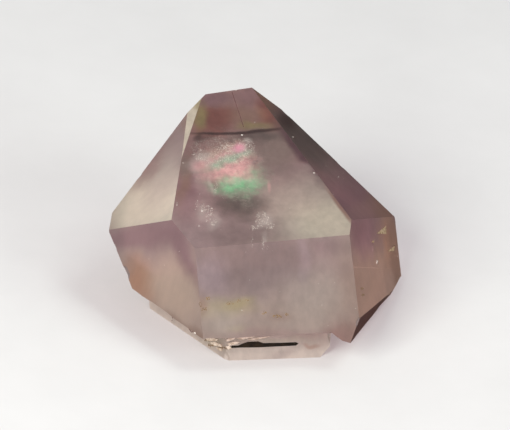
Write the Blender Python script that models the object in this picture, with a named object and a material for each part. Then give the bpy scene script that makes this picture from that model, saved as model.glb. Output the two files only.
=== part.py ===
"""Amethyst scepter: a squat six-sided quartz head grown over a shorter, narrower quartz stem.

The crystal leans back, and its stem is cut off flat, so that it stands on the cut.
Each crystal face is a plane with its own slope to the crystal's long axis and its own
distance from one point on that axis, the heart of the crystal. The faces are cut from a
block one after the other, the way a lapidary works. Growth lines are scored across the
side faces, the underside is broken away, the stem is joined on, and last come the chips.
"""

import math
import random

import bmesh
import bpy
from mathutils import Matrix, Vector, noise

MM = 0.001

# How the crystal stands, in degrees: it leans back, the lean is turned about the
# vertical, and the front face is turned a little about the long axis.
LEAN = 33.2
LEAN_TURN = 21.0
SPIN = -4.2

# Faces of the head: turn about the long axis and slope to it in degrees, and distance
# from the heart in mm. A turn of 0 looks forward and one of 60 forward and to the right.
# In quartz the sides slope by 90 degrees and the tip faces by 51.8, one every 60 degrees.
# These are up to a degree or so askew, and the crest, the steep back of the tip, by more.
HEAD_FACES = {
    "front": (-0.2, 90.4, 21.2),
    "right": (60.2, 88.9, 20.45),
    "back_right": (120.0, 90.0, 22.65),
    "back_left": (-120.0, 90.0, 15.6),
    "left": (-59.4, 90.1, 21.3),
    "tip_front": (-0.5, 50.9, 16.4),
    "tip_right": (58.7, 52.3, 17.75),
    "tip_back_right": (120.2, 51.2, 19.4),
    "crest": (-174.5, 52.2, 13.15),
    "tip_back_left": (-120.1, 51.4, 16.45),
    "tip_left": (-60.1, 51.5, 19.4),
    "sliver": (-12.8, 47.2, 18.08),  # thin face along the edge of the front and left tips
    "flank": (-115.7, 109.7, 14.41),  # break that runs in under the left side
    "heel": (65.7, 113.8, 22.8),  # break that runs in under the right side
}
STEM_FACES = {
    "front": (0.0, 90.0, 14.0),
    "right": (79.5, 103.2, 14.44),  # a break, not a crystal face
    "corner": (82.9, 137.6, 18.83),  # break across the foot of the right side
    "back_right": (120.0, 90.0, 12.6),
    "back": (180.0, 90.0, 8.0),
    "back_left": (-120.0, 90.0, 12.7),
    "left": (-60.0, 90.0, 13.25),
}

# Levels above the heart in mm. The head ends at a floor and the stem at the cut.
CUT_LEVEL = -6.75
HEAD_FLOOR = -0.35
STEM_TOP = 2.0

# From FLOOR_FRONT backwards the floor rises a little for each mm, until it is level.
FLOOR_FRONT = -27.0
FLOOR_RISE = 0.06
FLOOR_RISE_MOST = 0.46

# At the right the head hangs lower: its floor ramps down from NOTCH, on the front face,
# to a lip that starts at TOOTH and drops towards the back.
NOTCH = (14.7, -22.0)
RAMP_TURN = 17.5
RAMP_FALL = 0.653
TOOTH = (17.3, -22.3, -1.8)
LIP_TURN = 76.0
LIP_FALL = 0.131
LIP_LOWEST = -5.8

# The floor is a rough break: the size and depth of its lumps in mm.
LUMPS = ((4.5, 0.16), (1.7, 0.12))
FLOOR_SIDE = 72.0
FLOOR_CELLS = 44

# Growth lines, shallow level grooves across the side faces: the face, the lowest and
# highest line along the axis in mm, and how many lines there are.
GROWTH_LINES = (
    ("right", -10.0, 5.0, 8),
    ("back_right", -8.0, 10.0, 9),
    ("back_left", -1.0, 8.0, 5),
)
GROOVE_DEPTHS = (0.05, 0.14)
GROOVE_SPREAD = 1.5  # half width at the surface for each mm of depth
BAR_RADIUS = 0.6

# Shell-shaped chips on edges: the two faces that meet there, the height along the axis,
# the radius of the shell and the depth of the chip, in mm.
HEAD_CHIPS = (
    ("left", "flank", -2.4, 2.2, 0.5),
    ("left", "flank", 1.6, 1.6, 0.2),
    ("tip_right", "tip_back_right", 20.0, 2.0, 0.25),
    ("tip_right", "tip_back_right", 11.5, 1.6, 0.2),
    ("crest", "tip_back_left", 10.0, 3.0, 0.5),
    ("crest", "tip_back_right", 6.0, 3.2, 0.6),
    ("crest", "tip_back_right", 14.0, 2.0, 0.3),
    ("back_right", "heel", -6.0, 2.6, 0.5),
    ("tip_back_left", "tip_left", 12.0, 1.8, 0.2),
    ("front", "heel", -13.0, 1.8, 0.25),
)
STEM_CHIPS = (
    ("front", "left", -16.4, 1.6, 0.35),
    ("front", "right", -14.4, 2.0, 0.5),
    ("left", "back_left", -9.0, 1.9, 0.45),
    ("back_left", "back", -4.6, 2.2, 0.5),
)

BLOCK = 120.0
CHANCE = random.Random(11)


def face_frame(turn, slope):
    """Axes of a crystal face: X runs level across it, Y points in and Z runs up it."""
    across = Matrix.Rotation(math.radians(turn), 4, "Z")
    return across @ Matrix.Rotation(math.radians(slope - 90.0), 4, "X")


def face_normal(turn, slope):
    """Outward direction of a crystal face, in the crystal's own axes."""
    return face_frame(turn, slope) @ Vector((0, -1, 0))


def standing():
    """The turn from the crystal's own axes to the way it stands."""
    lean = Matrix.Rotation(math.radians(-LEAN), 4, "X")
    turn = Matrix.Rotation(math.radians(LEAN_TURN), 4, "Z")
    spin = Matrix.Rotation(math.radians(SPIN), 4, "Z")
    return turn @ lean @ spin


def slice_off(bm, normal, distance):
    """Cuts away all that lies past a plane and closes the cut."""
    geom = bm.verts[:] + bm.edges[:] + bm.faces[:]
    bmesh.ops.bisect_plane(
        bm, geom=geom, plane_co=normal * distance * MM, plane_no=normal, clear_outer=True
    )
    bmesh.ops.holes_fill(bm, edges=[e for e in bm.edges if e.is_boundary])


def stand_on_cut(bm):
    """Leans a crystal back and cuts it off flat at the bottom."""
    bm.transform(standing())
    slice_off(bm, Vector((0, 0, -1)), -CUT_LEVEL)


def crystal(faces):
    """A block cut down to its crystal faces, leaning and cut off flat."""
    bm = bmesh.new()
    bmesh.ops.create_cube(bm, size=BLOCK * MM)
    for turn, slope, distance in faces.values():
        slice_off(bm, face_normal(turn, slope), distance)
    stand_on_cut(bm)
    return bm


def edge_point(faces, first, second, height):
    """Point on the edge of two faces at a height along the axis, and the way out from it."""
    out_a = face_normal(*faces[first][:2])
    out_b = face_normal(*faces[second][:2])
    rows = Matrix((out_a, out_b, Vector((0, 0, 1))))
    point = rows.inverted() @ Vector((faces[first][2], faces[second][2], height))
    return point, (out_a + out_b).normalized()


def add_object(bm, name, collection):
    """Turns a finished shape into an object in a collection."""
    bm.normal_update()
    bmesh.ops.recalc_face_normals(bm, faces=bm.faces[:])
    mesh = bpy.data.meshes.new(name)
    bm.to_mesh(mesh)
    bm.free()
    obj = bpy.data.objects.new(name, mesh)
    collection.objects.link(obj)
    return obj


def work(obj, tool, operation):
    """Cuts an object with a tool, or joins the tool to it, and hides the tool."""
    tool.hide_render = True
    tool.display_type = "WIRE"
    step = obj.modifiers.new(tool.name, "BOOLEAN")
    step.operation = operation
    step.solver = "EXACT"
    step.object = tool


def floor_height(x, y):
    """Height of the underside of the head at a place in plan, in mm."""
    turn = math.radians(RAMP_TURN)
    past = (x - NOTCH[0]) * math.cos(turn) + (y - NOTCH[1]) * math.sin(turn)
    ramp = HEAD_FLOOR - RAMP_FALL * max(past, 0.0)
    turn = math.radians(LIP_TURN)
    along = (x - TOOTH[0]) * math.cos(turn) + (y - TOOTH[1]) * math.sin(turn)
    lip = max(TOOTH[2] - LIP_FALL * along, LIP_LOWEST)
    height = min(HEAD_FLOOR, max(ramp, lip))
    height += min(FLOOR_RISE * (y - FLOOR_FRONT), FLOOR_RISE_MOST)
    for size, depth in LUMPS:
        height += depth * noise.noise(Vector((x / size, y / size, size)))
    return height


def floor_cutter(collection):
    """A rough-topped block that takes away what lies under the head."""
    bm = bmesh.new()
    bmesh.ops.create_grid(
        bm, x_segments=FLOOR_CELLS, y_segments=FLOOR_CELLS, size=FLOOR_SIDE / 2 * MM
    )
    for v in bm.verts:
        v.co.z = floor_height(v.co.x / MM, v.co.y / MM) * MM
    walls = bmesh.ops.extrude_face_region(bm, geom=bm.faces[:])["geom"]
    for v in (part for part in walls if isinstance(part, bmesh.types.BMVert)):
        v.co.z = -BLOCK / 2 * MM
    return add_object(bm, "under_the_head", collection)


def groove_cutter(face, height, depth, collection):
    """A three-sided bar that scores a level line across a side face with one edge."""
    turn, slope, distance = HEAD_FACES[face]
    bm = bmesh.new()
    bmesh.ops.create_cone(
        bm, cap_ends=True, segments=3, radius1=MM, radius2=MM, depth=BLOCK / 2 * MM
    )
    # The bar is made upright, with its scoring edge at +Y, and is laid along X.
    section = Matrix.Diagonal((BAR_RADIUS * GROOVE_SPREAD * math.sqrt(3.0), BAR_RADIUS, 1.0, 1.0))
    lay = Matrix.Rotation(math.radians(90.0), 4, "Y")
    place = Matrix.Translation(Vector((0, depth - distance - BAR_RADIUS, height)) * MM)
    bm.transform(standing() @ face_frame(turn, slope) @ place @ lay @ section)
    return add_object(bm, f"line_{face}_{height:.1f}", collection)


def chip_cutter(name, faces, chip, collection):
    """A faceted ball that scoops a shell-shaped chip out of an edge."""
    first, second, height, radius, depth = chip
    point, outward = edge_point(faces, first, second, height)
    centre = (point + outward * (radius - depth)) * MM
    bm = bmesh.new()
    bmesh.ops.create_icosphere(bm, subdivisions=2, radius=radius * MM)
    bm.transform(standing() @ Matrix.Translation(centre))
    return add_object(bm, name, collection)


def amethyst():
    """Pale, slightly cloudy amethyst."""
    material = bpy.data.materials.new("amethyst")
    material.use_nodes = True
    shader = material.node_tree.nodes["Principled BSDF"]
    shader.inputs["Base Color"].default_value = (0.42, 0.33, 0.38, 1.0)
    shader.inputs["Roughness"].default_value = 0.08
    shader.inputs["IOR"].default_value = 1.55
    shader.inputs["Transmission Weight"].default_value = 0.6
    return material


def set_down(obj, movers):
    """Moves everything so that the part stands on the origin, in the middle of its box."""
    corners = [v.co for v in obj.evaluated_get(bpy.context.evaluated_depsgraph_get()).data.vertices]
    low = Vector([min(c[axis] for c in corners) for axis in range(3)])
    high = Vector([max(c[axis] for c in corners) for axis in range(3)])
    shift = Vector((-(low.x + high.x) / 2, -(low.y + high.y) / 2, -low.z))
    for mover in movers:
        mover.location = shift


def growth_lines(obj, collection):
    """Scores every growth line, at uneven heights and depths."""
    for face, low, high, count in GROWTH_LINES:
        gap = (high - low) / count
        for row in range(count):
            height = low + gap * (row + CHANCE.uniform(0.1, 0.9))
            depth = CHANCE.uniform(*GROOVE_DEPTHS)
            work(obj, groove_cutter(face, height, depth, collection), "DIFFERENCE")


def build():
    for old in list(bpy.data.objects):
        bpy.data.objects.remove(old)
    specimen = bpy.data.collections.new("amethyst_scepter")
    tools = bpy.data.collections.new("cutters")
    bpy.context.scene.collection.children.link(specimen)
    bpy.context.scene.collection.children.link(tools)

    scepter = add_object(crystal(HEAD_FACES), "amethyst_scepter", specimen)
    growth_lines(scepter, tools)
    work(scepter, floor_cutter(tools), "DIFFERENCE")

    stem = crystal(STEM_FACES)
    slice_off(stem, Vector((0, 0, 1)), STEM_TOP)
    work(scepter, add_object(stem, "stem", tools), "UNION")

    for number, chip in enumerate(HEAD_CHIPS):
        work(scepter, chip_cutter(f"head_chip_{number}", HEAD_FACES, chip, tools), "DIFFERENCE")
    for number, chip in enumerate(STEM_CHIPS):
        work(scepter, chip_cutter(f"stem_chip_{number}", STEM_FACES, chip, tools), "DIFFERENCE")
    quartz = amethyst()
    scepter.data.materials.append(quartz)
    set_down(scepter, list(specimen.objects) + list(tools.objects))


build()
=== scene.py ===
# %% [markdown]
# # An amethyst scepter
#
# A scepter is a quartz crystal that grew in two steps: first a narrow stem, then a wider
# head round its end. This one is short and squat. The head is milky mauve amethyst with six
# side faces and a six-sided tip. It leans back, and the stem is sawn off flat, so the
# crystal stands on the cut.
#
# The solid comes finished from the CAD model. This lesson dresses it: stone that is half
# clear and half milky, growth zones of colour, a healed crack that shines in rainbow
# colours, iron specks, and the chips and dust that make a stone look real.

import math

import bmesh
import bpy
from mathutils import Matrix, Vector, noise
from mathutils.bvhtree import BVHTree


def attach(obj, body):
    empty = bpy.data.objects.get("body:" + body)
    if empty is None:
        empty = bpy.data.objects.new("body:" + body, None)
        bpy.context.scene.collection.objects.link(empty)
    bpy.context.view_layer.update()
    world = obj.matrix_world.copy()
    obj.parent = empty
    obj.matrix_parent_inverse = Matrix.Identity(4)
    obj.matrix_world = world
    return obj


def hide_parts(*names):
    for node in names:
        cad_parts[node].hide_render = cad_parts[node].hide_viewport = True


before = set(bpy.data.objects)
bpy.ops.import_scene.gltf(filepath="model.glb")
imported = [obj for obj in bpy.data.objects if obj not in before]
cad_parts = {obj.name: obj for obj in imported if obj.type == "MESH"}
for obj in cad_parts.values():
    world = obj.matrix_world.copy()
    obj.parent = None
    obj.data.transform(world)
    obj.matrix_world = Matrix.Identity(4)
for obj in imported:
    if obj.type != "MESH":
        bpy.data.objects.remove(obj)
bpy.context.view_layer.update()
MM = 0.001
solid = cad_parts["amethyst_scepter"]
print("solid:", [round(v / MM, 1) for v in solid.dimensions], "mm")

# %% [markdown]
# ## Where we look from
#
# The camera looks down on the front of the crystal through a long lens, the way small
# stones are pictured: far away and zoomed in, so that nothing bulges. A camera could be
# turned with three angles. Here its three axes are worked out from a height and a roll,
# because the same axes then tell where any point of the picture lies on the stone.

# %% The camera
PICTURE = (510, 430)  # the picture's width and height
VIEW_HEIGHT = math.radians(29.0)  # how far above the level the camera stands
VIEW_ROLL = math.radians(6.07)
VIEW_DISTANCE = 1500 * MM
PIXEL = 0.15 * MM  # what one pixel covers at the stone
HEART = Vector((-2.268, 4.102, 6.750)) * MM  # the point all crystal faces are measured from
HEART_PIXEL = (241.1, 249.3)

to_camera = Vector((0, -math.cos(VIEW_HEIGHT), math.sin(VIEW_HEIGHT)))
level_right = Vector((1, 0, 0))
level_up = to_camera.cross(level_right)
view_right = level_right * math.cos(VIEW_ROLL) + level_up * math.sin(VIEW_ROLL)
view_up = to_camera.cross(view_right)


def picture_point(x, y):
    """The point level with the stone's heart that is seen at pixel x, y."""
    across = (x - HEART_PIXEL[0]) * PIXEL
    down = (y - HEART_PIXEL[1]) * PIXEL
    return HEART + view_right * across - view_up * down


camera_place = picture_point(PICTURE[0] / 2, PICTURE[1] / 2) + to_camera * VIEW_DISTANCE
lens = bpy.data.cameras.new("long_lens")
lens.sensor_width = 36
lens.lens = lens.sensor_width * VIEW_DISTANCE / (PICTURE[0] * PIXEL)
camera = bpy.data.objects.new("camera", lens)
camera_axes = Matrix((view_right, view_up, to_camera)).transposed().to_4x4()
camera.matrix_world = Matrix.Translation(camera_place) @ camera_axes
bpy.context.scene.collection.objects.link(camera)
bpy.context.scene.camera = camera
print(f"camera: {lens.lens:.0f} mm lens, {VIEW_DISTANCE / MM:.0f} mm away")

# %% [markdown]
# ## The crystal's faces
#
# Colour in a crystal stops at its faces: one face looks cream and its neighbour purple,
# with a crisp edge between them. So the material has to know which face it is on. The
# slope and place of each crystal face are known, so every polygon is compared with them
# and gets a mark, a number of 1 in an attribute with the face's name. Polygons that fit no
# face are the rounded edges and the rough breaks.

# %% Face planes
LEAN = math.radians(33.2)
LEAN_TURN = math.radians(21.0)
SPIN = math.radians(-4.2)
# Turn about the long axis and slope to it in degrees, and distance from the heart in mm.
FACES = {
    "tip_left": (-60.1, 51.5, 19.4),
    "sliver": (-12.8, 47.2, 18.08),
    "tip_front": (-0.5, 50.9, 16.4),
    "tip_right": (58.7, 52.3, 17.75),
    "front": (-0.2, 90.4, 21.2),
    "left": (-59.4, 90.1, 21.3),
    "right": (60.2, 88.9, 20.45),
    "heel": (65.7, 113.8, 22.8),
    "flank": (-115.7, 109.7, 14.41),
    "back_right": (120.0, 90.0, 22.65),
    "back_left": (-120.0, 90.0, 15.6),
    "tip_back_right": (120.2, 51.2, 19.4),
    "crest": (-174.5, 52.2, 13.15),
    "tip_back_left": (-120.1, 51.4, 16.45),
}
STEM_REACH = 17.0 * MM  # no stem face lies further out than this
UNDERSIDE = -0.8 * MM  # the head's floor is level with the heart, or nearly so
FACE_DRIFT = 0.5 * MM  # how far a polygon may lie from its face's plane
FACE_TILT = math.radians(12)  # and how far it may be turned

standing = (
    Matrix.Rotation(LEAN_TURN, 3, "Z")
    @ Matrix.Rotation(-LEAN, 3, "X")
    @ Matrix.Rotation(SPIN, 3, "Z")
)
long_axis = standing @ Vector((0, 0, 1))


def face_normal(turn, slope):
    """The direction that a crystal face looks in."""
    turn, slope = math.radians(turn), math.radians(slope)
    out = Vector((math.sin(turn), -math.cos(turn), 0)) * math.sin(slope)
    return standing @ (out + Vector((0, 0, math.cos(slope))))


face_planes = {
    name: (face_normal(turn, slope), distance * MM)
    for name, (turn, slope, distance) in FACES.items()
}
stem_planes = {
    "stem_front": (face_normal(0.0, 90.0), 14.0 * MM),
    "stem_left": (face_normal(-60.0, 90.0), 13.25 * MM),
}


# %% [markdown]
# ## The stone's skin
#
# The CAD solid is made of loose triangles. A copy is welded and its flat faces are made
# whole again, and then every edge is rounded off a little: no real crystal edge is
# perfectly sharp, and a rounded edge catches a thin line of light. A Bevel modifier limited
# by angle does this to all edges at once.

# %% Helpers for objects
EDGE_ROUNDING = 0.09 * MM
EDGE_ANGLE = math.radians(18)


def new_piece(name, shape):
    """A new object called name from the bmesh shape."""
    mesh = bpy.data.meshes.new(name)
    shape.to_mesh(mesh)
    shape.free()
    piece = bpy.data.objects.new(name, mesh)
    bpy.context.scene.collection.objects.link(piece)
    return piece


def finished(piece):
    """Turns what the modifiers of piece make into its plain mesh."""
    evaluated = piece.evaluated_get(bpy.context.evaluated_depsgraph_get())
    mesh = bpy.data.meshes.new_from_object(evaluated)
    piece.modifiers.clear()
    piece.data = mesh
    mesh.name = piece.name
    return piece


# %% Weld, flatten and round
WELD = 0.002 * MM  # corners closer than this are one
FLAT = math.radians(0.6)  # faces that meet at less than this are one
GROOVE_DEEPEST = 0.16 * MM
# The solid's growth lines are too bold. This share of their depth is filled up again.
GROOVE_FILL = {"right": 1.0, "back_right": 0.85, "back_left": 0.85}

shape = bmesh.new()
shape.from_mesh(solid.data)
bmesh.ops.remove_doubles(shape, verts=shape.verts, dist=WELD)
bmesh.ops.dissolve_limit(shape, angle_limit=FLAT, verts=shape.verts, edges=shape.edges)
for name, fill in GROOVE_FILL.items():
    normal, distance = face_planes[name]
    for vertex in shape.verts:
        sunk = distance - normal.dot(vertex.co - HEART)
        if 0 < sunk < GROOVE_DEEPEST:
            vertex.co += normal * sunk * fill
stone = new_piece("scepter_stone", shape)
rounding = stone.modifiers.new("rounding", "BEVEL")
rounding.width = EDGE_ROUNDING
rounding.segments = 2
rounding.limit_method = "ANGLE"
rounding.angle_limit = EDGE_ANGLE
finished(stone)
print("skin:", len(stone.data.polygons), "faces")

# %% Mark the faces
def face_of(polygon):
    """The name of the face that a polygon belongs to."""
    place = polygon.center - HEART
    for name, (normal, distance) in face_planes.items():
        close = abs(normal.dot(place) - distance) < FACE_DRIFT
        if close and polygon.normal.dot(normal) > math.cos(FACE_TILT):
            return name
    outward = (place - long_axis * place.dot(long_axis)).length
    if outward < STEM_REACH and place.z < UNDERSIDE:
        return "stem"
    return "broken"


def mark_faces(piece):
    """Gives a mesh one attribute for each face name."""
    marks = {name: [] for name in [*FACES, "stem", "broken"]}
    for polygon in piece.data.polygons:
        found = face_of(polygon)
        for name, values in marks.items():
            values.append(1.0 if name == found else 0.0)
    for name, values in marks.items():
        attribute = piece.data.attributes.new("on_" + name, "FLOAT", "FACE")
        attribute.data.foreach_set("value", values)
    return {name: int(sum(values)) for name, values in marks.items()}


print("polygons on each face:", mark_faces(stone))

# %% [markdown]
# ## Growth zones of colour, and painted shade
#
# The stone's colour is never even. Mauve and smoky purple sit in the tip and along some
# edges, cream and beige cloud the middle, and iron stains the rims orange. Light and shade
# are painted in too: each face is made lighter or darker for how the lamps fall on it, and a
# purple band beside the front edge of the left face is painted shade. Such zones could
# be painted by hand on a texture. Here each is a soft round patch that belongs to one face,
# mixed into the stone's ground colour one after the other, so that every zone has a name, a
# place and a colour that can be changed.
#
# Two shader node groups do the repeated work. **soft_patch** gives a mask that is 1 in the
# middle of a patch and falls off to 0. **crack_colours** gives the bands of pink and green
# that light makes in a thin crack, and both the stone and the crack itself use it.

# %% Helpers for shader nodes


def shade(red, green, blue):
    """A colour from its display values, 0 to 255, as the linear values that shaders use."""
    return [((v / 255 + 0.055) / 1.055) ** 2.4 if v > 10 else v / 3295 for v in (red, green, blue)] + [1.0]


def toned(tint, tone):
    """A colour made darker (tone under 1) or lighter."""
    return [value * tone for value in tint[:3]] + [1.0]


class Nodes:
    """Adds nodes to one tree and links them in a line or two."""

    def __init__(self, tree):
        self.tree = tree

    def add(self, kind, **values):
        """A node with its properties and inputs set: an input by name or as in_0, in_1."""
        node = self.tree.nodes.new(kind if "Node" in kind else "ShaderNode" + kind)
        for name, value in values.items():
            if name.startswith("in_"):
                self.feed(node.inputs[int(name[3:])], value)
            elif hasattr(node, name):
                setattr(node, name, value)
            else:
                self.feed(node.inputs[name.replace("_", " ")], value)
        return node

    def feed(self, socket, value):
        if isinstance(value, bpy.types.NodeSocket):
            self.tree.links.new(value, socket)
        elif isinstance(value, bpy.types.Node):
            self.tree.links.new(value.outputs[0], socket)
        else:
            socket.default_value = value

    def maths(self, operation, a, b):
        return self.add("Math", operation=operation, in_0=a, in_1=b).outputs[0]

    def plus(self, a, b):
        return self.maths("ADD", a, b)

    def minus(self, a, b):
        return self.maths("SUBTRACT", a, b)

    def times(self, a, b):
        return self.maths("MULTIPLY", a, b)

    def vector(self, operation, a, b=(0, 0, 0)):
        node = self.add("VectorMath", operation=operation, in_0=a, in_1=b)
        return node.outputs["Value" if operation in ("DOT_PRODUCT", "LENGTH") else "Vector"]

    def mix(self, amount, under, over, blend="MIX"):
        node = self.add("Mix", data_type="RGBA", blend_type=blend)
        self.feed(node.inputs[0], amount)
        self.feed(node.inputs[6], under)
        self.feed(node.inputs[7], over)
        return node.outputs[2]

    def spread(self, value, low, high, start=0.0, end=1.0):
        """value moved from the range low..high to start..end, smoothly and no further."""
        node = self.add("MapRange", interpolation_type="SMOOTHSTEP")
        for index, v in enumerate((value, low, high, start, end)):
            self.feed(node.inputs[index], v)
        return node.outputs[0]

    def cloud(self, where, scale, detail=3.0, rough=0.55):
        """Noise from about 0.3 to 0.7; scale is in lumps a metre."""
        node = self.add("TexNoise", Vector=where, Scale=scale, Detail=detail, Roughness=rough)
        return node.outputs["Fac"]

    def ramp(self, value, stops):
        node = self.add("ValToRGB", in_0=value)
        elements = node.color_ramp.elements
        while len(elements) < len(stops):
            elements.new(1.0)
        for element, (place, colour) in zip(elements, stops):
            element.position = place
            element.color = colour
        return node.outputs[0]


def new_group(name, inputs, outputs, kind="Shader"):
    """An empty group of Shader or Geometry nodes with named sockets, and its two end nodes."""
    tree = bpy.data.node_groups.new(name, kind + "NodeTree")
    for way, names in (("INPUT", inputs), ("OUTPUT", outputs)):
        for title, socket, value in names:
            made = tree.interface.new_socket(title, in_out=way, socket_type="NodeSocket" + socket)
            if value is not None:
                made.default_value = value
    return Nodes(tree), tree.nodes.new("NodeGroupInput"), tree.nodes.new("NodeGroupOutput")


# %% Group: soft_patch
patch, given, result = new_group(
    "soft_patch",
    [
        ("Where", "Vector", None), ("Middle", "Vector", None), ("Half Size", "Vector", None),
        ("Turn", "Float", 0.0), ("Softness", "Float", 0.5), ("Face", "Float", 1.0),
    ],
    [("Mask", "Float", None)],
)
given = given.outputs
turned = patch.add(
    "VectorRotate", rotation_type="Z_AXIS",
    Vector=given["Where"], Center=given["Middle"], Angle=given["Turn"],
)
offset = patch.vector("SUBTRACT", turned.outputs[0], given["Middle"])
reach = patch.vector("LENGTH", patch.vector("DIVIDE", offset, given["Half Size"]))
inside = patch.minus(1.0, given["Softness"])
outside = patch.plus(1.0, given["Softness"])
mask = patch.spread(reach, outside, inside)
patch.feed(result.inputs["Mask"], patch.times(mask, given["Face"]))
soft_patch = patch.tree
print("group soft_patch:", len(soft_patch.nodes), "nodes")

# %% Group: crack_colours
CRACK_MIDDLE = (231.0, 170.0)
CRACK_TOP = 138.0
CRACK_BOTTOM = 210.0
CRACK_TONE = 0.88  # how light the bands are beside the colours below
CRACK_SLANT = (0.47, 0.04)  # how much the bands climb to the right, above and below
SLANT_ROWS = (166.0, 184.0)  # the heights in the picture between which they level out
CRACK_LEAN = 0.28  # how much the crack leans to the right on its way down
CRACK_REACH = (33.0, 35.0)  # half the width and height of the coloured part
CRACK_MILK = shade(212, 200, 186)
CRACK_BANDS = (
    (0.00, (112, 100, 92)), (0.06, (150, 136, 124)), (0.12, (190, 164, 150)), (0.18, (206, 164, 162)),
    (0.24, (178, 176, 160)), (0.30, (160, 190, 164)), (0.36, (186, 180, 162)), (0.42, (222, 176, 172)),
    (0.49, (228, 182, 178)), (0.56, (206, 194, 174)), (0.62, (168, 204, 168)), (0.69, (132, 200, 150)),
    (0.75, (126, 184, 140)), (0.81, (142, 166, 138)), (0.87, (122, 128, 112)), (1.00, (108, 98, 90)),
)
crack, given, result = new_group(
    "crack_colours",
    [("Where", "Vector", None), ("Place", "Vector", None)],
    [("Colour", "Color", None), ("Mask", "Float", None), ("Frost", "Float", None)],
)
place = given.outputs["Place"]


def swing(scale, reach, detail=2):
    """Noise around 0 that swings by about reach to both sides."""
    noise_value = crack.minus(crack.cloud(place, scale, detail, 0.6), 0.5)
    return crack.times(noise_value, reach * 5)


spot = crack.add("SeparateXYZ", in_0=given.outputs["Where"])
right_of = crack.minus(spot.outputs[0], CRACK_MIDDLE[0])
slant = crack.spread(spot.outputs[1], *SLANT_ROWS, *CRACK_SLANT)
level = crack.plus(spot.outputs[1], crack.times(right_of, slant))
level = crack.plus(level, swing(460, 4.0))
level = crack.plus(level, swing(1500, 1.5, 3))
share = crack.maths("DIVIDE", crack.minus(level, CRACK_TOP), CRACK_BOTTOM - CRACK_TOP)
bands = crack.ramp(share, [(place_on, toned(shade(*c), CRACK_TONE)) for place_on, c in CRACK_BANDS])
milk = crack.spread(crack.cloud(place, 3000, 3, 0.6), 0.47, 0.66)
bands = crack.mix(crack.times(milk, 0.35), bands, CRACK_MILK)
away = crack.add("SeparateXYZ", in_0=crack.vector("SUBTRACT", given.outputs["Where"], (*CRACK_MIDDLE, 0)))
across = crack.plus(away.outputs[0], crack.times(away.outputs[1], -CRACK_LEAN))
across = crack.maths("DIVIDE", across, CRACK_REACH[0])
along = crack.maths("DIVIDE", away.outputs[1], CRACK_REACH[1])
reach = crack.vector("LENGTH", crack.add("CombineXYZ", in_0=across, in_1=along).outputs[0])
reach = crack.plus(reach, swing(520, 0.22, 4))
patchy = crack.spread(crack.cloud(place, 800, 3, 0.55), 0.34, 0.56, 0.6, 1.0)
crack.feed(result.inputs["Colour"], bands)
crack.feed(result.inputs["Mask"], crack.times(crack.spread(reach, 1.25, 0.45), patchy))
grains = crack.spread(crack.cloud(place, 5200, 2, 0.5), 0.54, 0.62)
high_up = crack.spread(spot.outputs[1], 176.0, 152.0)
crack.feed(result.inputs["Frost"], crack.times(grains, high_up))
crack_colours = crack.tree
print("group crack_colours:", len(crack_colours.nodes), "nodes")

# %% [markdown]
# ## The zones
#
# Each row is one zone of the face named over it: its colour, the middle of it in the
# picture, half its width and height there, how far it is turned, how soft its rim is and how
# strong it is. Sizes are in pixels of the picture, because the zones were laid out there. Turned
# into the stone's own coordinates they stay on their face from every side.

# %% Colours and zones
CREAM = shade(222, 212, 190)
PALE = shade(196, 182, 168)
BEIGE = shade(176, 154, 142)
SAND = shade(186, 152, 134)
MAUVE = shade(158, 134, 130)
PINK_MILK = shade(188, 160, 158)
LILAC = shade(178, 154, 158)
PURPLE = shade(146, 112, 116)
GREY_MAUVE = shade(138, 116, 112)
PLUM = shade(92, 62, 68)
DUSK = shade(150, 131, 122)
SMOKE = shade(100, 90, 84)
DARK = shade(66, 50, 46)
BROWN = shade(150, 118, 100)
ORANGE = shade(186, 134, 102)
RED_BROWN = shade(138, 86, 76)
OLIVE = shade(158, 142, 98)
ROSE = shade(164, 130, 124)
STEM_WHITE = shade(230, 215, 200)
FROSTY = shade(216, 204, 194)
WARM_PALE = shade(206, 180, 160)
YELLOW_STAIN = shade(188, 170, 122)
BRIGHT_PINK = shade(250, 176, 196)
DULL_PINK = shade(236, 178, 176)
BROKEN_TINT = shade(170, 152, 146)
FROST_TINT = shade(226, 222, 208)

# Painted light and shade: how much lighter or darker each face is made beside the colours named above, to
# stand for how the lamps fall on it.
FACE_PAINTED_SHADE = {
    "tip_left": 0.95,
    "sliver": 0.95,
    "tip_front": 0.7,
    "front": 0.68,
    "left": 0.73,
    "right": 1.1,
    "heel": 0.38,
    "stem": 0.8,
}
# The ground tone below darkens the ground colour alike on every face.
GROUND_TONE = 0.76  # and of the ground colour under all zones
EDGE_ON_FACE = "tip_right"  # seen almost edge on, where wavy zones would look like streaks

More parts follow.
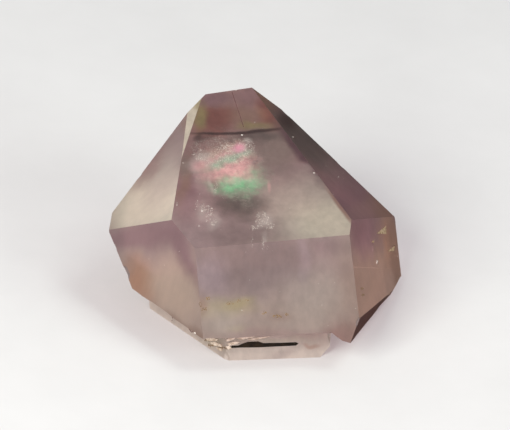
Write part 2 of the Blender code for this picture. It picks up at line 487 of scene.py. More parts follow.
ZONES = {
    "tip_left": (
        # cream below, dull towards the top
        (MAUVE, 178, 136, 16, 44, 22, 0.7, 1.0), (CREAM, 156, 208, 50, 32, -8, 0.5, 1.0),
        (PALE, 164, 178, 15, 26, 26, 0.7, 0.8), (ROSE, 148, 172, 6, 22, 36, 0.8, 0.6),
        (BROWN, 190, 118, 5, 16, 20, 0.8, 0.6),
    ),
    "sliver": (
        # a bright strip
        (CREAM, 190, 130, 14, 40, 14, 0.4, 0.9), (OLIVE, 199, 106, 6, 7, 0, 0.7, 0.7),
    ),
    "tip_front": (
        # the cap above the dark line
        (RED_BROWN, 214, 117, 22, 12, 0, 0.6, 0.9), (BROWN, 246, 116, 16, 12, 0, 0.7, 0.7),
        (PURPLE, 212, 98, 18, 7, -8, 0.6, 0.8), (ORANGE, 268, 113, 8, 18, -34, 0.6, 0.75),
        (RED_BROWN, 263, 103, 5, 7, -30, 0.6, 0.85), (RED_BROWN, 271, 121, 12, 10, -24, 0.7, 0.7),
        (OLIVE, 258, 126, 18, 4, -4, 0.7, 0.8), (OLIVE, 201, 118, 6, 13, 12, 0.7, 0.9),
        # around the healed crack
        (DUSK, 276, 150, 24, 22, -20, 0.7, 0.95), (SMOKE, 258, 137, 26, 6, -4, 0.7, 0.8),
        (DARK, 204, 139.5, 11, 3, -26, 0.7, 0.8), (ROSE, 208, 146, 15, 8, -10, 0.5, 0.8),
        (BROWN, 184, 182, 6, 34, 7, 0.7, 0.7), (PINK_MILK, 204, 180, 9, 18, -10, 0.8, 0.7),
        (FROSTY, 201, 162, 11, 8, -16, 0.7, 0.9), (FROSTY, 213, 187, 2.5, 8, -14, 0.7, 0.7),
        # cream at the lower right, mauve at the lower left
        (PALE, 318, 214, 62, 40, 4, 0.5, 0.9), (CREAM, 328, 222, 36, 20, 2, 0.6, 1.0),
        (PINK_MILK, 203, 230, 36, 26, 0, 0.6, 1.0), (MAUVE, 240, 232, 30, 14, -4, 0.7, 0.9),
        (SMOKE, 240, 206, 24, 11, 0, 0.6, 0.95), (FROSTY, 203, 212, 4, 7, 0, 0.9, 0.6),
        (FROSTY, 214, 221, 5, 7, 20, 0.9, 0.5), (FROSTY, 263, 220, 8, 5, -38, 0.8, 0.6),
        (FROSTY, 264, 242, 2.5, 9, 4, 0.9, 0.5), (PLUM, 297, 149, 5.5, 36, -37, 0.7, 0.9),
    ),
    "tip_right": (
        (BROWN, 262, 99, 9, 16, -42, 0.6, 0.9), (SMOKE, 308, 141, 17, 44, -46, 0.5, 1.0),
        (DARK, 287, 121, 7, 9, -46, 0.7, 0.7), (GREY_MAUVE, 338, 178, 18, 22, -44, 0.7, 0.6),
        (PURPLE, 354, 208, 26, 34, -40, 0.6, 0.95), (BROWN, 384, 208, 12, 18, -40, 0.7, 0.8),
        (ROSE, 360, 212, 18, 8, -20, 0.8, 0.5),
    ),
    "front": (
        # mauve above, beige below
        (BEIGE, 272, 312, 96, 36, 0, 0.45, 1.0), (MAUVE, 240, 262, 100, 34, -7, 0.5, 0.95),
        (GREY_MAUVE, 268, 256, 44, 24, -5, 0.7, 0.9), (LILAC, 212, 276, 16, 18, -6, 0.7, 0.7),
        (LILAC, 303, 256, 6, 22, -4, 0.8, 0.45), (PURPLE, 330, 246, 14, 8, -4, 0.8, 0.4),
        (ROSE, 282, 334, 70, 7, 0, 0.6, 0.5), (YELLOW_STAIN, 224, 306, 26, 8, -4, 0.8, 0.7),
        (YELLOW_STAIN, 233, 326, 8, 4, 0, 0.9, 0.4), (SAND, 203, 305, 5, 6, 0, 0.8, 0.6),
        (RED_BROWN, 344, 333, 17, 15, 0, 0.7, 0.7), (PALE, 221, 318, 18, 16, 0, 0.8, 0.6),
        (PALE, 316, 298, 28, 24, 0, 0.8, 0.4), (BROWN, 357, 288, 20, 66, -4, 0.8, 0.5),
    ),
    "left": (
        # painted shade: the purple strip at x 186 and the two plum rows darken the band beside the front edge
        (PURPLE, 136, 237, 50, 11, -8, 0.6, 0.9), (PURPLE, 186, 256, 9, 42, -24, 0.6, 0.9),
        (PLUM, 170, 238, 18, 9, -20, 0.8, 0.25), (PLUM, 187, 264, 7, 22, -24, 0.8, 0.25),
        (ORANGE, 144, 280, 15, 22, -30, 0.7, 0.9), (WARM_PALE, 174, 288, 22, 30, -30, 0.6, 0.9),
        (BROWN, 190, 330, 40, 5, 32, 0.8, 0.7),
    ),
    "right": (
        (SAND, 368, 286, 26, 60, 10, 0.5, 1.0), (PURPLE, 364, 232, 16, 24, 0, 0.7, 0.95),
        (PLUM, 355, 228, 8, 15, -5, 0.8, 0.35), (ORANGE, 388, 240, 7, 24, -6, 0.7, 0.5),
        (BROWN, 396, 262, 5, 40, -6, 0.7, 0.8),
    ),
    "heel": (
        # red-brown stone, made very dark by the heel's painted shade: the face looks down, away from the
        # lamps
        (RED_BROWN, 365, 320, 40, 50, 0, 0.7, 0.9),
    ),
    "flank": (
        (STEM_WHITE, 140, 292, 60, 60, 0, 0.5, 0.7),
    ),
    "stem": (
        # whitish, stained olive and orange, mauve where it is clearer
        (OLIVE, 214, 341, 14, 4, 30, 0.8, 0.4), (CREAM, 258, 340, 52, 4, -2, 0.6, 0.8),
        (ORANGE, 311, 343.5, 8, 2, 0, 0.7, 0.5), (MAUVE, 282, 353, 12, 4, -20, 0.8, 0.4),
        (MAUVE, 246, 342, 12, 3, -4, 0.8, 0.3),
    ),
}
# Rows of the same kind that lie over the others and hardly waver: bright spots in and
# beside the healed crack, small stains and tints, and the dark line across the tip.
CLEAR_ZONES = {
    "tip_front": (
        (BRIGHT_PINK, 239, 148.5, 5, 4, -14, 0.8, 1.0), (DULL_PINK, 201, 165.5, 8, 5.5, -8, 0.8, 0.8),
        (FROSTY, 204, 156.5, 8, 4.5, -10, 0.8, 0.5), (DULL_PINK, 269, 187, 1.6, 5, -6, 0.7, 0.5),
        (FROSTY, 248, 141, 4, 2.5, 10, 0.7, 0.5), (RED_BROWN, 340.3, 207, 2.6, 23, -37, 0.6, 0.75),
        (RED_BROWN, 209, 132, 19, 5, 0, 0.8, 0.6), (PURPLE, 250, 97, 16, 11, 10, 0.8, 0.6),
        (RED_BROWN, 268, 111, 6, 12, -30, 0.8, 0.6), (ROSE, 211, 148, 10, 5, -10, 0.8, 0.6),
        (DUSK, 185, 166, 6, 10, 6, 0.8, 0.8), (MAUVE, 206, 189, 6, 26, -4, 0.8, 0.35),
        (PURPLE, 188, 210, 9, 18, 8, 0.8, 0.5), (DUSK, 260, 161, 10, 17, -8, 0.8, 0.5),
        (DARK, 221, 133.6, 28, 1.5, 0, 0.6, 0.9), (DARK, 260, 131.3, 24, 1.7, -7, 0.6, 0.9),
        (DARK, 198, 138, 5, 3, -30, 0.6, 0.7),
    ),
    "front": (
        (BROWN, 202.5, 303, 5, 8, 10, 0.9, 0.5), (YELLOW_STAIN, 238, 302, 14, 4, -18, 0.9, 0.6),
        (BROWN, 281, 315.5, 10, 3.5, 0, 0.9, 0.45),
    ),
}
print("zones:", sum(len(rows) for zones in (ZONES, CLEAR_ZONES) for rows in zones.values()))

# %% [markdown]
# ## The stone's material
#
# Milky quartz lets some light straight through and scatters the rest just under the
# surface. A volume that scatters light would be the exact way, but it renders slowly and
# few programs can read it. So the material is a mix that they all read: a plain
# transmission weight of about one half, the index of refraction of quartz, a faint mauve
# absorption that deepens where the stone is thick, and a base colour for the milky half.

# %% Stone material
MILKINESS = 0.5
STONE_IOR = 1.55
ROUGHNESS = (0.28, 0.36)  # etched faces blur what is seen through them
SMOOTH_FACES = ("tip_left", "left", "right")  # faces with only half of the cloudy grain
MOTTLE = (0.9, 1.1)  # how much the cloudy grain darkens and lightens the colour
ABSORB_COLOUR = shade(200, 172, 188)
ABSORB_DENSITY = 18.0
LINE_RELIEF = 0.004 * MM  # height of the fine level lines on the side faces
WAVE_RELIEF = 0.02 * MM  # of the slow waves that no crystal face is free of
BREAK_RELIEF = 0.06 * MM  # of the shell-like ripples on breaks
LAMP_LIGHT_THROUGH = 0.7  # share of a lamp's light that the stone lets pass
LAMP_TINT = shade(226, 206, 214)  # and the colour it takes on
ZONE_WAVE = 16  # how far the rims of the zones waver, in pixels
STEADY_SHARE = 0.16  # the part of it that the steady ones waver
GROUND_HEIGHTS = (-8.0, 20.0)  # along the axis, in mm, where the ground colour starts and ends
GROUND_DRIFT = 22.0  # how strongly noise shifts it up and down
CRACK_STRENGTH = 0.8  # of the crack's colours in the milky half over it


def new_material(name):
    """A node material: its Nodes helper, its Principled shader and its output."""
    material = bpy.data.materials.new(name)
    material.use_nodes = True
    made = Nodes(material.node_tree)
    ready = material.node_tree.nodes
    return material, made, ready["Principled BSDF"], ready["Material Output"]


stone_look, look, stone_shader, stone_out = new_material("milky_amethyst")
place = look.add("TexCoord").outputs["Object"]
from_heart = look.vector("SUBTRACT", place, tuple(HEART))


def picture_coordinates(made, where):
    """Where a point of the stone lies in the picture, in pixels, from its object coordinates."""
    across = made.maths("DIVIDE", made.vector("DOT_PRODUCT", where, tuple(view_right)), PIXEL)
    down = made.maths("DIVIDE", made.vector("DOT_PRODUCT", where, tuple(view_up)), -PIXEL)
    plan = made.add("CombineXYZ", in_0=across, in_1=down)
    return made.vector("ADD", plan.outputs[0], (*HEART_PIXEL, 0))


plan = picture_coordinates(look, from_heart)
wobble = look.add("TexNoise", Vector=place, Scale=260, Detail=2)
wobble = look.vector("SUBTRACT", wobble.outputs["Color"], (0.5, 0.5, 0.5))
wobble = look.vector("MULTIPLY", wobble, (ZONE_WAVE, ZONE_WAVE, 0))
wavy_plan = look.vector("ADD", plan, wobble)
steady_plan = look.vector("ADD", plan, look.vector("MULTIPLY", wobble, (STEADY_SHARE, STEADY_SHARE, 0)))

height = look.vector("DOT_PRODUCT", from_heart, tuple(long_axis))
height = look.maths("DIVIDE", height, MM)
drift = look.times(look.minus(look.cloud(place, 130), 0.5), GROUND_DRIFT)
height = look.plus(height, drift)
ground = ((0.0, BEIGE), (0.35, MAUVE), (0.75, PURPLE), (1.0, ROSE))
ground = [(on, toned(tint, GROUND_TONE)) for on, tint in ground]
colour = look.ramp(look.spread(height, *GROUND_HEIGHTS), ground)
face_marks = {}


def face_mark(name):
    if name not in face_marks:
        face_marks[name] = look.add("Attribute", attribute_name="on_" + name).outputs["Fac"]
    return face_marks[name]


def zone_mask(face, x, y, wide, high, turn, soft, where):
    return look.add(
        "Group", node_tree=soft_patch, Where=where, Face=face_mark(face), Middle=(x, y, 0),
        Half_Size=(wide, high, 1000), Turn=math.radians(-turn), Softness=soft,
    ).outputs[0]


# The stem's white is darkened by the stem's painted shade as well.
colour = look.mix(face_mark("stem"), colour, toned(STEM_WHITE, FACE_PAINTED_SHADE["stem"]))
colour = look.mix(face_mark("broken"), colour, toned(BROKEN_TINT, GROUND_TONE))


def lay_zones(colour, zones, where):
    """colour with the zones of every face mixed in, one after the other, each tint made lighter or darker by
    its face's painted shade.
    """
    for face, rows in zones.items():
        on_face = steady_plan if face == EDGE_ON_FACE else where
        for tint, x, y, wide, high, turn, soft, strength in rows:
            mask = zone_mask(face, x, y, wide, high, turn, soft, on_face)
            mask = look.times(mask, strength)
            colour = look.mix(mask, colour, toned(tint, FACE_PAINTED_SHADE.get(face, 1.0)))
    return colour


colour = lay_zones(colour, ZONES, wavy_plan)

bands = look.add("Group", node_tree=crack_colours, Where=plan, Place=place)
in_crack = look.times(look.times(bands.outputs["Mask"], face_mark("tip_front")), CRACK_STRENGTH)
colour = look.mix(in_crack, colour, bands.outputs["Colour"])
frost = look.times(bands.outputs["Frost"], look.times(in_crack, 0.8))
colour = look.mix(frost, colour, FROST_TINT)
colour = lay_zones(colour, CLEAR_ZONES, steady_plan)

upright = tuple(-angle for angle in standing.to_euler())
streaks = look.add("Mapping", Vector=from_heart, Rotation=upright, Scale=(1.0, 1.0, 0.12))
mottle = look.plus(look.cloud(place, 420, 4, 0.6), look.cloud(streaks, 900, 3, 0.6))
elsewhere = look.minus(1.0, face_mark(EDGE_ON_FACE))
for name in SMOOTH_FACES:
    smooth = look.times(face_mark(name), 0.5)
    elsewhere = look.minus(elsewhere, smooth)
mottle = look.times(look.minus(mottle, 1.0), elsewhere)
mottle = look.spread(mottle, -0.3, 0.3, *MOTTLE)
mottle = look.add("CombineXYZ", in_0=mottle, in_1=mottle, in_2=mottle).outputs[0]
colour = look.mix(1.0, colour, mottle, "MULTIPLY")

gloss = look.spread(look.cloud(place, 300, 2), 0.3, 0.7, *ROUGHNESS)
gloss = look.plus(gloss, look.times(face_mark("broken"), 0.3))

level_lines = look.add("Mapping", Vector=from_heart, Rotation=upright, Scale=(0.06, 0.06, 1.0))
lines = look.cloud(level_lines, 2600, 4, 0.6)
sides = face_mark("front")
for name in ("left", "right", "back_right", "back_left", "heel"):
    sides = look.plus(sides, face_mark(name))
relief = look.times(look.times(lines, sides), LINE_RELIEF / MM)
waves = look.times(look.cloud(place, 180, 0), WAVE_RELIEF / MM)
relief = look.plus(relief, waves)
ripples = look.times(look.cloud(place, 1500, 5, 0.6), face_mark("broken"))
relief = look.plus(relief, look.times(ripples, BREAK_RELIEF / MM))
bump = look.add("Bump", Height=relief, Distance=MM, Strength=1.0)
look.feed(stone_shader.inputs["Normal"], bump)
look.feed(stone_shader.inputs["Base Color"], colour)
look.feed(stone_shader.inputs["Roughness"], gloss)
stone_shader.inputs["IOR"].default_value = STONE_IOR
stone_shader.inputs["Transmission Weight"].default_value = 1 - MILKINESS
absorption = look.add("VolumeAbsorption", Color=ABSORB_COLOUR, Density=ABSORB_DENSITY)
look.feed(stone_out.inputs["Volume"], absorption)

lamp_ray = look.add("LightPath").outputs["Is Shadow Ray"]
passing = look.add("BsdfTransparent", Color=LAMP_TINT)
let_through = look.times(lamp_ray, LAMP_LIGHT_THROUGH)
surface = look.add("MixShader", in_0=let_through, in_1=stone_shader, in_2=passing)
look.feed(stone_out.inputs["Surface"], surface)

stone.data.materials.clear()
stone.data.materials.append(stone_look)
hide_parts("amethyst_scepter")
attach(stone, "root")
print("stone material:", len(stone_look.node_tree.nodes), "nodes")

# %% [markdown]
# ## Finding a place on the stone
#
# Small features are placed by where they are seen in the picture. A ray from the camera
# through that pixel is followed until it meets the skin. What is built there lies in the
# plane of the face that was hit, so it fits the stone from every side.

# %% Rays onto the skin
shape = bmesh.new()
shape.from_mesh(stone.data)
bmesh.ops.triangulate(shape, faces=shape.faces)
skin_tree = BVHTree.FromBMesh(shape)
shape.free()


def on_stone(x, y, face=None):
    """The point of the skin seen at pixel x, y and the way its face looks.

    With a face's name, the point lies in that face's plane, also past its rim. Where the
    ray misses the stone, the point is None."""
    ray = (picture_point(x, y) - camera_place).normalized()
    if face is None:
        point, normal, _, _ = skin_tree.ray_cast(camera_place, ray)
        return point, normal
    normal, distance = (face_planes | stem_planes)[face]
    reach = (distance - normal.dot(camera_place - HEART)) / normal.dot(ray)
    return camera_place + ray * reach, normal


def slab(shape, corners, lift, thickness):
    """Adds a thin closed slab to shape: corners are (point, normal) pairs in order."""
    top = [shape.verts.new(point + normal * lift) for point, normal in corners]
    low = [shape.verts.new(point + normal * (lift - thickness)) for point, normal in corners]
    count = len(corners)
    shape.faces.new(top)
    shape.faces.new(reversed(low))
    for i in range(count):
        j = (i + 1) % count
        shape.faces.new((top[j], top[i], low[i], low[j]))


def close_up(shape):
    """Turns all faces of shape outwards."""
    bmesh.ops.recalc_face_normals(shape, faces=shape.faces)
    return shape


def give_look(piece, material):
    """Finishes a piece: its material and the body it rides on."""
    piece.data.materials.clear()
    piece.data.materials.append(material)
    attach(piece, "root")


print("skin under the middle of the picture:", on_stone(255, 215)[0])

# %% [markdown]
# ## The healed crack
#
# Behind the front tip face a crack has healed and left a film so thin that it shows
# interference colours, pink and green in turn. On the real stone it is a ragged sheet
# inside. It could be only painted on the face, but then it would not move against the face
# as the stone is turned. So it is built as a thin sheet at a small depth, with a ragged
# outline, and the milky half of the stone over it carries the same bands more faintly.

# %% Crack sheet
CRACK_HALF = (33, 33)  # half its width and height in the picture
CRACK_DEPTH = (0.35 * MM, 1.3 * MM)  # under the face at its top and bottom
CRACK_STEPS = 48
CRACK_GRAIN = 0.85  # pixels between its points
CRACK_SHEET = 0.03 * MM


def crack_edge(x, y):
    """Less than 1 inside the crack's ragged outline, more outside."""
    across = (x - CRACK_LEAN * y) / CRACK_HALF[0]
    raggedness = noise.noise(Vector((x * 0.09, y * 0.09, 3.0))) * 0.42
    raggedness += noise.noise(Vector((x * 0.4, y * 0.4, 5.0))) * 0.2
    return math.hypot(across, y / CRACK_HALF[1]) + raggedness


shape = bmesh.new()
grid = {}
for i in range(-CRACK_STEPS, CRACK_STEPS + 1):
    for j in range(-CRACK_STEPS, CRACK_STEPS + 1):
        x, y = i * CRACK_GRAIN, j * CRACK_GRAIN
        if crack_edge(x, y) > 1:
            continue
        point, normal = on_stone(CRACK_MIDDLE[0] + x, CRACK_MIDDLE[1] + y, "tip_front")
        fall = min(max((y + CRACK_HALF[1]) / (2 * CRACK_HALF[1]), 0), 1)
        depth = CRACK_DEPTH[0] + (CRACK_DEPTH[1] - CRACK_DEPTH[0]) * fall
        depth += noise.noise(Vector((x * 0.05, y * 0.05, 9.0))) * 0.12 * MM
        grid[i, j] = shape.verts.new(point - normal * depth)
for (i, j), corner in grid.items():
    around = [(i, j), (i + 1, j), (i + 1, j + 1), (i, j + 1)]
    if all(key in grid for key in around):
        shape.faces.new([grid[key] for key in around])
loose = [v for v in shape.verts if not v.link_faces]
bmesh.ops.delete(shape, geom=loose, context="VERTS")
crack_sheet = new_piece("healed_crack", shape)
solidify = crack_sheet.modifiers.new("sheet", "SOLIDIFY")
solidify.thickness = CRACK_SHEET
solidify.offset = 0
finished(crack_sheet)

crack_look, made, crack_shader, _ = new_material("crack_film")
where = made.add("TexCoord").outputs["Object"]
seen_at = picture_coordinates(made, made.vector("SUBTRACT", where, tuple(HEART)))
film = made.add("Group", node_tree=crack_colours, Where=seen_at, Place=where)
made.feed(crack_shader.inputs["Base Color"], made.mix(film.outputs["Mask"], MAUVE, film.outputs["Colour"]))
made.feed(crack_shader.inputs["Roughness"], made.spread(film.outputs["Frost"], 0.0, 1.0, 0.12, 0.6))
crack_shader.inputs["Metallic"].default_value = 0.0
crack_shader.inputs["Specular IOR Level"].default_value = 0.9
give_look(crack_sheet, crack_look)
print("crack sheet:", len(crack_sheet.data.polygons), "faces")

# %% [markdown]
# ## Specks, frost and dust
#
# Three kinds of tiny things lie on the stone: white frosty bruises, brown iron specks in
# small patches, and dust all over. Each could be placed by hand, but there are thousands.
# One Geometry Nodes tree scatters them all: it spreads random points over a patch, sets a
# small lump on each at a random turn and size, makes the lumps real and gives them their
# material. The patches, called beds, are ragged ovals that follow the skin and are placed
# by pixel. The dust takes the whole stone.

# %% Tree: scatter_lumps
make, given, result = new_group(
    "scatter_lumps",
    [
        ("Bed", "Geometry", None), ("Lumps per Square Metre", "Float", 1e6),
        ("Smallest", "Float", 0.03 * MM), ("Largest", "Float", 0.1 * MM),
        ("Flatness", "Float", 0.4), ("Tilt", "Float", 0.3), ("Seed", "Int", 1),
        ("Material", "Material", None),
    ],
    [("Lumps", "Geometry", None)],
    "Geometry",
)
scatter, given = make.tree, given.outputs
points = make.add(
    "GeometryNodeDistributePointsOnFaces",
    Mesh=given["Bed"], Density=given["Lumps per Square Metre"], Seed=given["Seed"],
).outputs
ball = make.add("GeometryNodeMeshIcoSphere", Subdivisions=1)
size = make.add(
    "FunctionNodeRandomValue", in_2=given["Smallest"], in_3=given["Largest"], Seed=given["Seed"]
)
stretch = make.add(
    "FunctionNodeRandomValue", data_type="FLOAT_VECTOR", in_0=(0.55, 0.55, 0.6), in_1=(1.3, 1.3, 1.2)
)
flatten = make.add("CombineXYZ", in_0=1.0, in_1=1.0, in_2=given["Flatness"])
wide = make.add("VectorMath", operation="MULTIPLY", in_0=stretch, in_1=flatten)
grow = make.add("VectorMath", operation="SCALE", Vector=wide, Scale=size.outputs[1])
tilt, back_tilt = given["Tilt"], make.times(given["Tilt"], -1.0)
spin = make.add(
    "FunctionNodeRandomValue", data_type="FLOAT_VECTOR", Seed=given["Seed"],
    in_0=make.add("CombineXYZ", in_0=back_tilt, in_1=back_tilt, in_2=-math.pi),
    in_1=make.add("CombineXYZ", in_0=tilt, in_1=tilt, in_2=math.pi),
)
turn = make.add(
    "FunctionNodeRotateRotation", rotation_space="LOCAL", Rotation=points["Rotation"],
    Rotate_By=make.add("FunctionNodeEulerToRotation", Euler=spin),
)
lumps = make.add(
    "GeometryNodeInstanceOnPoints",
    Points=points["Points"], Instance=ball, Rotation=turn, Scale=grow,
)
real = make.add("GeometryNodeRealizeInstances", Geometry=lumps)
paint = make.add("GeometryNodeSetMaterial", Geometry=real, Material=given["Material"])
make.feed(result.inputs["Lumps"], paint)
print("tree scatter_lumps:", len(scatter.nodes), "nodes")

# %% Beds and scattering
BED_STEP = 0.5  # pixels between the points of a bed


def bed(shape, x, y, wide, high):
    """Adds a ragged oval to shape that lies on the skin, with its middle at pixel x, y."""
    grid = {}
    for i in range(-round(wide / BED_STEP) - 2, round(wide / BED_STEP) + 3):
        for j in range(-round(high / BED_STEP) - 2, round(high / BED_STEP) + 3):
            across, down = i * BED_STEP, j * BED_STEP
            ragged = noise.noise(Vector((x + across * 0.5, y + down * 0.5, 0.5)))
            if math.hypot(across / wide, down / high) + 0.5 * ragged > 1:
                continue
            point, normal = on_stone(x + across, y + down)
            if point is not None:
                grid[i, j] = (shape.verts.new(point), normal)
    for (i, j), (_, normal) in grid.items():
        around = [(i, j), (i + 1, j), (i + 1, j + 1), (i, j + 1)]
        if all(key in grid and grid[key][1].dot(normal) > 0.99 for key in around):
            patch = shape.faces.new([grid[key][0] for key in around])
            patch.normal_update()
            if patch.normal.dot(normal) < 0:
                patch.normal_flip()


def scatter_on(bed, material, **values):
    """Runs scatter_lumps over the object bed and leaves the lumps as its mesh."""
    modifier = bed.modifiers.new("scatter", "NODES")
    modifier.node_group = scatter
    values["Material"] = material
    for item in scatter.interface.items_tree:
        title = item.name.replace(" ", "_")
        if item.in_out == "INPUT" and title in values:
            modifier[item.identifier] = values[title]
    finished(bed)
    give_look(bed, material)
    print(bed.name + ":", len(bed.data.polygons), "faces")


def plain_look(name, low, high, rough, scale=3000.0, see_through=0.0, shine=0.5):
    """A stone-like material that varies between two colours."""
    material, made, shader, _ = new_material(name)
    fine = made.cloud(made.add("TexCoord").outputs["Object"], scale, 3)
    made.feed(shader.inputs["Base Color"], made.ramp(fine, [(0.35, low), (0.65, high)]))
    made.feed(shader.inputs["Roughness"], made.spread(fine, 0.3, 0.7, rough - 0.1, rough + 0.1))
    shader.inputs["Transmission Weight"].default_value = see_through
    shader.inputs["Specular IOR Level"].default_value = shine
    return material


FROST_BEDS = (
    (209, 213, 5, 8), (203, 208, 3, 4), (197, 204, 2, 3), (214, 222, 4, 4), (262, 219, 7, 8),
    (254, 228, 4, 3), (270, 226, 5, 4), (200, 156, 8, 5), (248, 146, 9, 8), (226, 148, 10, 4),
    (207, 163, 6, 4), (216, 186, 2, 8), (263, 243, 2, 7), (252, 241, 1.5, 6), (268, 247, 1.5, 4),
)
IRON_BEDS = (
    (200.5, 304.5, 2.8, 2.4), (204.5, 309, 3.2, 1.8), (208, 298.5, 2.6, 1.7), (230, 303.5, 4.2, 1.8),
    (239, 300.5, 3.6, 1.5), (247, 300.5, 2.6, 1.5), (264, 312.5, 2.6, 2.0), (277, 316, 4.2, 1.8),
    (286.5, 314, 2.8, 1.8), (362, 288.6, 1.9, 1.3), (363, 295, 2.0, 1.3),
)
STEM_IRON_BEDS = (
    (212, 345, 4, 2), (222, 348, 6, 1.5), (208, 340, 4, 1.5),
)
shape = bmesh.new()
for spot in FROST_BEDS:
    bed(shape, *spot)
frost = new_piece("frost_flakes", shape)
frost_look = plain_look("frosty_bruise", shade(190, 178, 168), shade(226, 216, 204), 0.45, 4000, 0.3)
scatter_on(
    frost, frost_look, Lumps_per_Square_Metre=4.0e7, Smallest=0.012 * MM, Largest=0.07 * MM,
    Flatness=0.3, Tilt=0.4, Seed=4,
)

shape = bmesh.new()
for spot in IRON_BEDS + STEM_IRON_BEDS:
    bed(shape, *spot)
iron = new_piece("iron_specks", shape)
iron_look = plain_look("iron_stain", shade(100, 78, 52), shade(134, 110, 80), 0.7, shine=0.2)
scatter_on(
    iron, iron_look, Lumps_per_Square_Metre=7.0e7, Smallest=0.04 * MM, Largest=0.1 * MM,
    Flatness=0.3, Tilt=0.1, Seed=9,
)

shape = bmesh.new()
shape.from_mesh(stone.data)
dust = new_piece("dust_grains", shape)
dust_look = plain_look("pale_dust", shade(214, 204, 190), shade(240, 236, 228), 0.5)
scatter_on(
    dust, dust_look, Lumps_per_Square_Metre=3.0e4, Smallest=0.02 * MM, Largest=0.07 * MM,
    Flatness=0.5, Tilt=0.6, Seed=21,
)

# %% [markdown]
# ## Marks with a shape of their own
#
# Some marks have a clear outline: the crack line near the top, small cracks in the stem,
# pale splinters where the stem has broken, bright chips, the dark window in the milky stem,
# and small three-sided plates on the right where the crystal grew in steps. The bright chips
# are partly real bruises and partly pale lumps that stand as painted glints. The dark window
# is painted shade: a near-black slab for the dark seen through the stem's clear quartz. A chip is
# a small lump that lies on the skin. Each of the others is a thin closed slab in its face.

# %% Slabs in the face


def line_slab(shape, pixels, width, lift, thickness, face=None):
    """Adds a thin line through the pixels to shape, as one slab for each stretch."""
    ends = [on_stone(x, y, face) for x, y in pixels]
    for (start, normal), (end, _) in zip(ends, ends[1:]):
        side = (end - start).normalized().cross(normal) * width / 2
        corners = (start + side, end + side, end - side, start - side)
        slab(shape, [(corner, normal) for corner in corners], lift, thickness)


TOP_CRACK = ((232, 92), (235, 101), (238, 110), (241, 119), (243.5, 127))
STEM_CRACKS = (
    ((171, 313.5), (172.5, 316), (172, 321)),
    ((189, 329), (191.5, 332), (195, 331.5)),
    ((181, 321), (185, 323)),
)
# Outline in pixels of the painted dark window on the stem.
PAINTED_DARK_STEM_WINDOW = (
    (229, 348.2), (232, 345.6), (238, 345.6), (243, 343.4), (248, 341.8), (258, 341.4), (263, 343),
    (280, 342.8), (296, 342.2), (298.5, 343.4), (296, 345.6), (278, 346.4), (258, 347.4), (240, 347.6),
)
SHARDS = (
    ("stem_left", (206, 338.5), (212, 337.6), (219, 339.6), (216, 341.4), (209, 341)),
    ("stem_left", (210, 342.4), (215, 341.8), (221, 344), (223, 347), (215, 345.4)),
    ("stem_left", (217, 347), (222, 348.4), (222, 351), (219, 349.6)),
    ("stem_front", (225, 340.4), (230, 338), (236, 337.2), (234, 339.2), (228, 341.6)),
    ("stem_front", (236, 338.4), (246, 336.2), (258, 335.8), (252, 337.8), (241, 339.8)),
    ("stem_front", (227, 343.6), (234, 341.8), (240, 342.2), (236, 344.4), (229, 346)),
    ("stem_front", (246, 339.6), (258, 337.4), (272, 336), (264, 338.4), (252, 340.4)),
    ("stem_front", (225.5, 346.4), (229, 345.8), (232, 348.6), (228, 349.8)),
)
GROWTH_PLATES = (
    ((376.5, 233.5), (385.5, 226), (386, 234)), ((387.5, 251.5), (394.5, 245.5), (394, 251)),
    ((371, 242), (374, 240), (373.5, 243)),
)
# Bright chips: real bruises on the skin, and pale lumps that stand as painted glints.
CHIPS_AND_GLINTS = (
    (242, 135, 0.18), (293, 137, 0.16), (314, 173, 0.18), (377, 261.5, 0.28), (376.7, 262.8, 0.26),
    (202, 211, 0.18), (201, 150, 0.1), (236, 90, 0.12), (208, 206, 0.1), (177, 205, 0.12),
    (183, 163, 0.1), (199, 226, 0.12), (195, 333, 0.22), (326, 166, 0.1), (172, 319, 0.14),
)
LINE_SLAB = (0.012 * MM, 0.05 * MM)  # how far a line stands out, and its thickness
shape = bmesh.new()
line_slab(shape, TOP_CRACK, 0.1 * MM, *LINE_SLAB)
for pixels in STEM_CRACKS:
    line_slab(shape, pixels, 0.12 * MM, *LINE_SLAB, "stem_left")
cracks = new_piece("fine_cracks", close_up(shape))
give_look(cracks, plain_look("dark_crack", shade(80, 52, 52), shade(104, 72, 68), 0.5))

shape = bmesh.new()
for row, (face, *corners) in enumerate(SHARDS):
    lift = (0.14 + 0.05 * (row % 3)) * MM
    slab(shape, [on_stone(x, y, face) for x, y in corners], lift, 0.4 * MM)
shards = new_piece("stem_shards", close_up(shape))
give_look(shards, plain_look("broken_quartz", shade(172, 154, 134), shade(212, 198, 180), 0.4, 1500))

shape = bmesh.new()
for x, y, radius in CHIPS_AND_GLINTS:
    point, normal = on_stone(x, y)
    made = bmesh.ops.create_icosphere(shape, subdivisions=1, radius=radius * MM)
    stretch_out = Matrix.Diagonal((1.0, 0.7, 0.4, 1.0))
    lie = normal.to_track_quat("Z", "Y").to_matrix().to_4x4()
    bmesh.ops.transform(shape, matrix=Matrix.Translation(point) @ lie @ stretch_out, verts=made["verts"])
chips_and_glints = new_piece("bright_chips", shape)
give_look(chips_and_glints, plain_look("chipped_quartz", shade(224, 212, 200), shade(246, 240, 230), 0.25, 3000, 0.3))

# Painted shade: this near-black slab on the stem stands for the dark seen through its clear quartz.
shape = bmesh.new()
slab(shape, [on_stone(x, y, "stem_front") for x, y in PAINTED_DARK_STEM_WINDOW], 0.04 * MM, 0.3 * MM)
dark_stem_piece = new_piece("stem_window", close_up(shape))
give_look(dark_stem_piece, plain_look("dark_clear_quartz", shade(22, 18, 12), shade(42, 34, 24), 0.5, 900, shine=0.08))

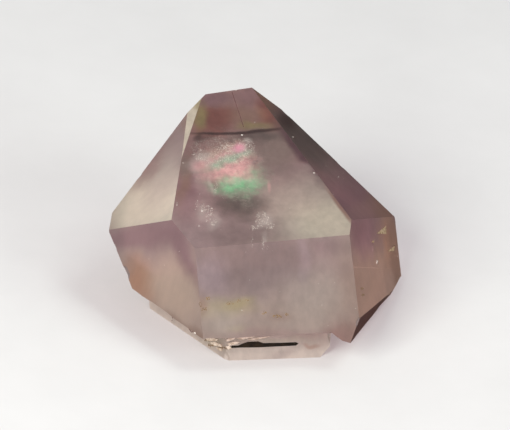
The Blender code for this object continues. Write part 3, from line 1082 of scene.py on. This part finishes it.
shape = bmesh.new()
for corners in GROWTH_PLATES:
    slab(shape, [on_stone(x, y, "right") for x, y in corners], 0.06 * MM, 0.2 * MM)
plates = new_piece("growth_plates", close_up(shape))
give_look(plates, plain_look("yellowish_quartz", shade(176, 148, 116), shade(198, 174, 142), 0.3, 2000, 0.2))
print("marks: 5 pieces")

# %% [markdown]
# ## A plain studio
#
# The stone stands on a pale table under big soft lamps. The table is part of the stage and
# not of the object.

# %% Floor and lamps
bpy.context.scene.view_settings.view_transform = "Standard"
shape = bmesh.new()
bmesh.ops.create_grid(shape, x_segments=1, y_segments=1, size=4.0)
table = new_piece("table", shape)
paper, made, paper_shader, _ = new_material("pale_paper")
grain = made.cloud(made.add("TexCoord").outputs["Object"], 40, 5, 0.6)
paper_tints = [(0.3, (0.66, 0.655, 0.645, 1)), (0.7, (0.70, 0.695, 0.685, 1))]
made.feed(paper_shader.inputs["Base Color"], made.ramp(grain, paper_tints))
paper_shader.inputs["Roughness"].default_value = 0.9
table.data.materials.append(paper)


def lamp(name, place, size, power, colour=(1, 1, 1)):
    """A square soft lamp at place that points at the stone."""
    light = bpy.data.lights.new(name, "AREA")
    light.shape = "SQUARE"
    light.size = size
    light.energy = power
    light.color = colour
    made = bpy.data.objects.new(name, light)
    made.location = place
    made.rotation_euler = (Vector(place) - HEART).to_track_quat("Z", "Y").to_euler()
    bpy.context.scene.collection.objects.link(made)


lamp("key", (-0.32, -0.58, 0.42), 0.35, 6.9, (1.0, 0.98, 0.95))
lamp("top", (0.32, -0.12, 0.7), 0.3, 1.6)
lamp("back_left", (-0.5, 0.47, 0.18), 0.22, 0.35)
lamp("fill", (0.6, -0.4, 0.35), 0.4, 2.9)

# Two dark cards stand close behind the stone and on its right, and one lies flat, as beside
# any clear stone in a studio: faces that look along the table mirror them and so show their
# own colour. The camera doesn't see the cards, and they cast no shadow.
CARD_HEIGHT = 0.04
CARD_FLOOR = ((0.025, 0.005, 0.0003), (0.11, 0.08))  # middle and size of the one that lies flat
CARDS = (((-0.09, 0.042), (0.13, 0.042)), ((0.028, 0.04), (0.028, -0.012)))
card_look, made, card_shader, _ = new_material("black_card")
card_shader.inputs["Base Color"].default_value = (0.01, 0.01, 0.012, 1)
card_shader.inputs["Roughness"].default_value = 1.0
for number, ends in enumerate(CARDS):
    shape = bmesh.new()
    low = [shape.verts.new((x, y, 0.0002)) for x, y in ends]
    high = [shape.verts.new((x, y, CARD_HEIGHT)) for x, y in ends]
    shape.faces.new((low[0], low[1], high[1], high[0]))
    card = new_piece(f"dark_card_{number}", shape)
    card.data.materials.append(card_look)
    card.visible_camera = False
    card.visible_shadow = False
    card.visible_diffuse = False
shape = bmesh.new()
bmesh.ops.create_grid(shape, x_segments=1, y_segments=1, size=0.5)
shape.transform(Matrix.Translation(CARD_FLOOR[0]) @ Matrix.Diagonal((*CARD_FLOOR[1], 1, 1)))
low_card = new_piece("dark_card_low", shape)
low_card.data.materials.append(card_look)
for kind in ("camera", "shadow", "diffuse", "transmission"):
    setattr(low_card, "visible_" + kind, False)

world = bpy.data.worlds.new("room")
bpy.context.scene.world = world
world.use_nodes = True
world.node_tree.nodes["Background"].inputs["Color"].default_value = (0.92, 0.95, 1, 1)
world.node_tree.nodes["Background"].inputs["Strength"].default_value = 0.35
